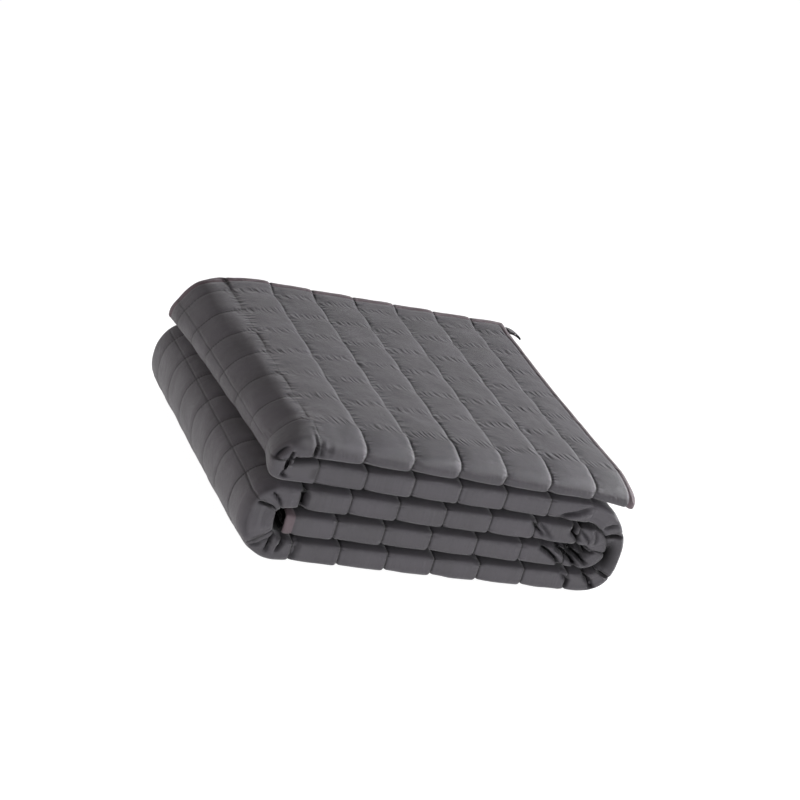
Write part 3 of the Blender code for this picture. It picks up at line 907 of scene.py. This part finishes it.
# The blanket's cloth. Pairs are from where to where something grows or fades, most of them in
# squares of the quilting, and a name with high in it is a height in metres.
fabric = {
    "colour": (0.056, 0.051, 0.059),
    "darker": (0.049, 0.045, 0.051),
    "hem": (0.092, 0.066, 0.075),
    "seam": (0.012, 0.010, 0.012),
    # colour of the painted shade in the creases, between the layers and inside the folds
    "crease": (0.0005, 0.0005, 0.0005),
    "patches": 0.9,  # how many there are in a square
    "patchEdge": (0.35, 0.65),
    "roughness": 0.62,
    "gloss": 0.5,
    "sheen": 0.25,
    "sheenRoughness": 0.4,
    "lineShade": 0.92,  # how dark the stitched lines are
    "seamLine": (0.010, 0.028),
    "seamOnTurns": 0.60,  # what is left of them on the left and right folds
    "crossLine": (0.012, 0.034),
    "crossOnTop": 0.12,  # what is left of the lines across on the top
    "leftFrom": (6.98, 7.0),  # u at which the upper left fold starts
    "underFrom": (9.0, 9.1),  # v at which the underside starts, and where a near fold is
    "nearFrom": (7.1, 7.3),
    "nearTo": (8.7, 8.9),
    "hemSoft": 0.01,
    "knot": (0.03, 0.10),  # dark spots where the lines cross on the left and right folds
    "knotShade": 0.8,
    "knotLong": 1.6,
    "threadsPerSquare": 110,
    "threadHigh": 0.00004,
    "stitchesPerSquare": 17,
    "stitchHigh": 0.0004,
    "stitchEdge": (-0.5, 0.3),
    "puckersPerSquare": 11,  # short furrows beside the lines across and beside the seams
    "crossPucker": (0.02, 0.17),
    "crossPuckerHigh": 0.0034,
    "crossPuckerSlant": 2.2,
    "crossPuckerLong": 1.6,
    "seamPucker": (0.01, 0.2),
    "seamPuckerHigh": 0.0022,
    "seamPuckerShare": 0.8,
    "seamPuckerLong": 1.8,
    "puckersLessOnTurns": 0.88,
    "puckersLessOnNear": 0.75,
    "softPitch": 1.7,  # broad soft waves in the cloth
    "softHigh": 0.0012,
}


def fabricMaterial(look):
    print("weaving the fabric")
    sheet = NodeSheet("quilted fabric")
    uv = sheet.nodes.new("ShaderNodeUVMap")
    uv.uv_map = "quilt"
    split = sheet.nodes.new("ShaderNodeSeparateXYZ")
    sheet.put(split.inputs[0], uv.outputs[0])
    u, v = split.outputs[0], split.outputs[1]

    def times(first, second):
        return sheet.calc("MULTIPLY", first, second)

    def allBut(value):
        return sheet.calc("SUBTRACT", 1.0, value)

    def fade(value, low, high):
        return sheet.ramp(value, low, high, 1.0, 0.0)

    def fromWhole(value):
        nearest = sheet.calc("ROUND", value)
        return sheet.calc("ABSOLUTE", sheet.calc("SUBTRACT", value, nearest))

    def waves(value, perSquare):
        return sheet.calc("SINE", times(value, 2 * math.pi * perSquare))

    # on a turn, from a little after its first seam on
    def onTurn(first, last):
        return times(sheet.ramp(u, first + 0.1, first + 0.3), fade(u, last - 0.1, last + 0.1))

    # the stitched lines; those across show on the left folds, hardly on the top, not on the near folds
    fromSeam, fromCross = fromWhole(u), fromWhole(v)
    turned = sheet.calc("ADD", onTurn(*upperLeft), onTurn(*outerRight))
    turned = sheet.calc("ADD", turned, onTurn(*lowerLeft))
    onFolds = sheet.calc("ADD", sheet.ramp(u, *look["leftFrom"]), sheet.ramp(v, *look["underFrom"]))
    onNear = times(sheet.ramp(v, *look["nearFrom"]), fade(v, *look["nearTo"]))
    crossShare = times(sheet.ramp(onFolds, 0.0, 1.0, look["crossOnTop"], 1.0), allBut(onNear))
    seamLine = times(fade(fromSeam, *look["seamLine"]),
                     sheet.ramp(turned, 0.0, 1.0, 1.0, look["seamOnTurns"]))
    crossLine = times(fade(fromCross, *look["crossLine"]), crossShare)
    alongSeam, alongCross = waves(v, look["stitchesPerSquare"]), waves(u, look["stitchesPerSquare"])
    stitches = sheet.calc("MAXIMUM", times(seamLine, sheet.ramp(alongSeam, *look["stitchEdge"])),
                         times(crossLine, sheet.ramp(alongCross, *look["stitchEdge"])))

    # the puckers run square to their line and are strongest beside it
    slanted = sheet.calc("ADD", times(u, look["puckersPerSquare"]), times(v, look["crossPuckerSlant"]))
    slanted = sheet.vector(slanted, times(v, look["crossPuckerLong"]))
    crossPucker = times(sheet.centred(sheet.noise(slanted, 1.0, 1.0)),
                        fade(fromCross, *look["crossPucker"]))
    upright = sheet.vector(times(v, look["puckersPerSquare"] * look["seamPuckerShare"]),
                           times(u, look["seamPuckerLong"]))
    seamPucker = times(sheet.centred(sheet.noise(upright, 1.0, 1.0)),
                       fade(fromSeam, *look["seamPucker"]))
    flat = allBut(times(turned, look["puckersLessOnTurns"]))
    offNear = allBut(times(onNear, look["puckersLessOnNear"]))
    crossPucker = times(times(crossPucker, flat), offNear)
    seamPucker = times(seamPucker, flat)

    soft = sheet.noise(sheet.vector(u, v), look["softPitch"], 2.0)
    weave = times(waves(u, look["threadsPerSquare"]), waves(v, look["threadsPerSquare"]))
    normal = sheet.bump(soft, look["softHigh"])
    normal = sheet.bump(crossPucker, look["crossPuckerHigh"], normal)
    normal = sheet.bump(seamPucker, look["seamPuckerHigh"], normal)
    normal = sheet.bump(stitches, look["stitchHigh"], normal)
    normal = sheet.bump(weave, look["threadHigh"], normal)
    sheet.put(sheet.shader.inputs["Normal"], normal)

    # the plain cloth, its hems, the stitched lines, and the painted shade in the creases, between the
    # layers and inside the folds
    patches = sheet.noise(sheet.vector(u, v), look["patches"], 4.0, 0.6)
    colour = sheet.blend(sheet.ramp(patches, *look["patchEdge"]), look["colour"], look["darker"])
    stitched, edge = cloth["hemStitch"], look["hemSoft"]
    nearEnd = fade(u, uStart + stitched - edge, uStart + stitched + edge)
    looseHem = sheet.ramp(u, uEnd - stitched - edge, uEnd - stitched + edge)
    upperHem = fade(v, vStart + stitched - edge, vStart + stitched + edge)
    hemBand = sheet.calc("MAXIMUM", sheet.calc("MAXIMUM", nearEnd, looseHem), upperHem)
    colour = sheet.blend(hemBand, colour, look["hem"])
    shade = times(sheet.calc("MAXIMUM", seamLine, crossLine), look["lineShade"])
    fromKnot = sheet.nodes.new("ShaderNodeVectorMath")
    fromKnot.operation = "LENGTH"
    sheet.put(fromKnot.inputs[0], sheet.vector(fromSeam, times(fromCross, look["knotLong"])))
    knot = sheet.ramp(fromKnot.outputs["Value"], *look["knot"], look["knotShade"], 0.0)
    shade = sheet.calc("MAXIMUM", shade, times(knot, turned))
    colour = sheet.blend(shade, colour, look["seam"])
    # the shade attribute paints shade into the colour and dims the gloss there
    crease = sheet.nodes.new("ShaderNodeAttribute")
    crease.attribute_name = "shade"
    dark = crease.outputs["Fac"]
    colour = sheet.blend(dark, colour, look["crease"])
    sheet.put(sheet.shader.inputs["Base Color"], colour)
    sheet.put(sheet.shader.inputs["Specular IOR Level"], times(allBut(dark), look["gloss"]))
    sheet.shader.inputs["Roughness"].default_value = look["roughness"]
    sheet.shader.inputs["Sheen Weight"].default_value = look["sheen"]
    sheet.shader.inputs["Sheen Roughness"].default_value = look["sheenRoughness"]
    return sheet.material


# the flattened loop of tape on the open end's hem, at its far corner
tape = {
    "thick": 0.0011,
    "width": 0.014,
    "length": 0.017,
    "gap": 0.0012,  # between its two halves
    "drop": 0.35,  # how far its tip hangs down, as a share of its length
    "selvedge": 0.5,  # how far its edges are rounded off
    "along": 14,  # points on each half, round the tip and across
    "round": 9,
    "across": 11,
    "colour": (0.030, 0.027, 0.031),
    "lighter": (0.052, 0.047, 0.053),
    "roughness": 0.75,
    "sheen": 0.2,
    "ribs": 320,
    "ribHigh": 0.0002,
    "fuzz": 900,
}


def tapeMaterial(look):
    sheet = NodeSheet("woven tape")
    place = sheet.nodes.new("ShaderNodeTexCoord").outputs["Object"]
    ribs = sheet.nodes.new("ShaderNodeTexWave")
    ribs.bands_direction = "Y"
    ribs.inputs["Scale"].default_value = look["ribs"]
    sheet.put(ribs.inputs["Vector"], place)
    sheet.put(sheet.shader.inputs["Normal"], sheet.bump(ribs.outputs["Fac"], look["ribHigh"]))
    fuzz = sheet.nodes.new("ShaderNodeTexNoise")
    fuzz.inputs["Scale"].default_value = look["fuzz"]
    sheet.put(fuzz.inputs["Vector"], place)
    colour = sheet.blend(fuzz.outputs["Fac"], look["colour"], look["lighter"])
    sheet.put(sheet.shader.inputs["Base Color"], colour)
    sheet.shader.inputs["Roughness"].default_value = look["roughness"]
    sheet.shader.inputs["Sheen Weight"].default_value = look["sheen"]
    return sheet.material


def makeLoop():
    print("sewing on the tape loop")
    seat = clothPoints(np.array([uStart]), np.array([vStart + cloth["loopIn"]]), 0.0)[0]
    radius = tape["gap"] / 2 + tape["thick"] / 2
    tip = tape["length"] - radius - tape["thick"] / 2
    line = [(x, radius) for x in np.linspace(0.0, tip, tape["along"])]
    line += [(tip + radius * math.sin(a), radius * math.cos(a))
             for a in np.linspace(0, math.pi, tape["round"])[1:-1]]
    line += [(x, -radius) for x in np.linspace(tip, 0.0, tape["along"])]
    across = np.linspace(-0.5, 0.5, tape["across"])
    points, faces = [], []
    count = len(line)
    for side in (1, -1):
        for i, (x, z) in enumerate(line):
            before, after = line[max(i - 1, 0)], line[min(i + 1, count - 1)]
            slope = Vector((after[0] - before[0], after[1] - before[1])).normalized()
            outX, outZ = slope.y * -side, slope.x * side
            for b in across:
                # the tape's selvedges are a little rounded
                half = tape["thick"] / 2 * (1 - tape["selvedge"] * abs(2 * b) ** 6)
                reach, height = x + outX * half, z + outZ * half
                drop = tape["drop"] * reach * reach / tape["length"]
                points.append((seat[0] + cloth["loopGap"] + max(reach, 0.0),
                               seat[1] + b * tape["width"], seat[2] + height - drop))
    wide = len(across)
    grid = count * wide
    for i in range(count - 1):
        for j in range(wide - 1):
            a = i * wide + j
            faces.append((a, a + 1, a + wide + 1, a + wide))
            faces.append((grid + a, grid + a + wide, grid + a + wide + 1, grid + a + 1))
    for i in range(count - 1):
        a = i * wide
        faces.append((a, a + wide, grid + a + wide, grid + a))
        a += wide - 1
        faces.append((a, grid + a, grid + a + wide, a + wide))
    for j in range(wide - 1):
        faces.append((j, grid + j, grid + j + 1, j + 1))
        a = (count - 1) * wide + j
        faces.append((a, a + 1, grid + a + 1, grid + a))
    mesh = bpy.data.meshes.new("loop")
    mesh.from_pydata(points, [], faces)
    mesh.validate()
    mesh.shade_smooth()
    item = bpy.data.objects.new("tape_loop", mesh)
    bpy.context.scene.collection.objects.link(item)
    item.data.materials.append(tapeMaterial(tape))
    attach(item, "root")
    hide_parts("corner_loop")


# a soft studio: lights from the right, the front and the left, and pale all round
studio = {
    "floorColour": (0.25, 0.25, 0.25),
    "floorSize": 24.0,
    "floorRoughness": 0.9,
    "floorGlow": 0.95,
    "skyStrength": 0.20,
    "keyPower": 12.4,
    "keyPlace": (2.8, 0.1, 1.45),
    "keySize": 0.8,
    "keyColour": (0.98, 0.98, 1.0),
    "keySpread": 44.0,  # degrees
    "aim": (0.04, -0.13, 0.09),
    "frontPower": 35.0,
    "frontPlace": (0.4, -2.7, 0.42),
    "frontSize": 0.8,
    "frontColour": (0.97, 0.97, 1.0),
    "leftPower": 20.0,
    "leftPlace": (-2.6, -0.1, 0.42),
    "leftSize": 0.8,
    "leftColour": (1.0, 0.88, 0.90),
}


def areaLight(name, place, power, size, colour):
    data = bpy.data.lights.new(name, "AREA")
    data.energy = power
    data.color = colour
    data.size = size
    item = bpy.data.objects.new(name, data)
    item.location = place
    item.rotation_euler = (Vector(studio["aim"]) - Vector(place)).to_track_quat("-Z", "Y").to_euler()
    bpy.context.scene.collection.objects.link(item)


def makeStudio():
    print("setting up the studio")
    size = studio["floorSize"] / 2
    mesh = bpy.data.meshes.new("floor")
    mesh.from_pydata([(-size, -size, 0), (size, -size, 0), (size, size, 0), (-size, size, 0)], [],
                     [(0, 1, 2, 3)])
    floor = bpy.data.objects.new("floor", mesh)
    bpy.context.scene.collection.objects.link(floor)
    sheet = NodeSheet("pale floor")
    sheet.shader.inputs["Base Color"].default_value = (*studio["floorColour"], 1.0)
    sheet.shader.inputs["Roughness"].default_value = studio["floorRoughness"]
    sheet.shader.inputs["Emission Color"].default_value = (1.0, 1.0, 1.0, 1.0)
    sheet.shader.inputs["Emission Strength"].default_value = studio["floorGlow"]
    mesh.materials.append(sheet.material)
    for name in ("key", "front", "left"):
        areaLight(name, studio[name + "Place"], studio[name + "Power"], studio[name + "Size"],
                  studio[name + "Colour"])
    bpy.data.lights["key"].spread = math.radians(studio["keySpread"])
    world = bpy.data.worlds.new("studio")
    world.use_nodes = True
    sky = world.node_tree.nodes["Background"]
    sky.inputs["Color"].default_value = (1.0, 1.0, 1.0, 1.0)
    sky.inputs["Strength"].default_value = studio["skyStrength"]
    bpy.context.scene.world = world
    bpy.context.scene.view_settings.view_transform = "Standard"


# the camera's place in metres and its turn in degrees; it is rolled, as in the photo
view = {
    "lens": 84.55,  # millimetres, on a sensor so wide
    "sensor": 36,
    "place": (-0.8023, -1.6563, 0.7689),
    "turn": (69.301, -16.640, -19.789),
}


def makeCamera():
    print("placing the camera")
    data = bpy.data.cameras.new("camera")
    data.sensor_width = view["sensor"]
    data.lens = view["lens"]
    item = bpy.data.objects.new("camera", data)
    item.location = view["place"]
    item.rotation_euler = [math.radians(degrees) for degrees in view["turn"]]
    bpy.context.scene.collection.objects.link(item)
    bpy.context.scene.camera = item


makeCamera()
blanketPiece = makeBlanket()
blanketPiece.data.materials.append(fabricMaterial(fabric))
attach(blanketPiece, "root")
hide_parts("blanket")
makeLoop()
makeStudio()
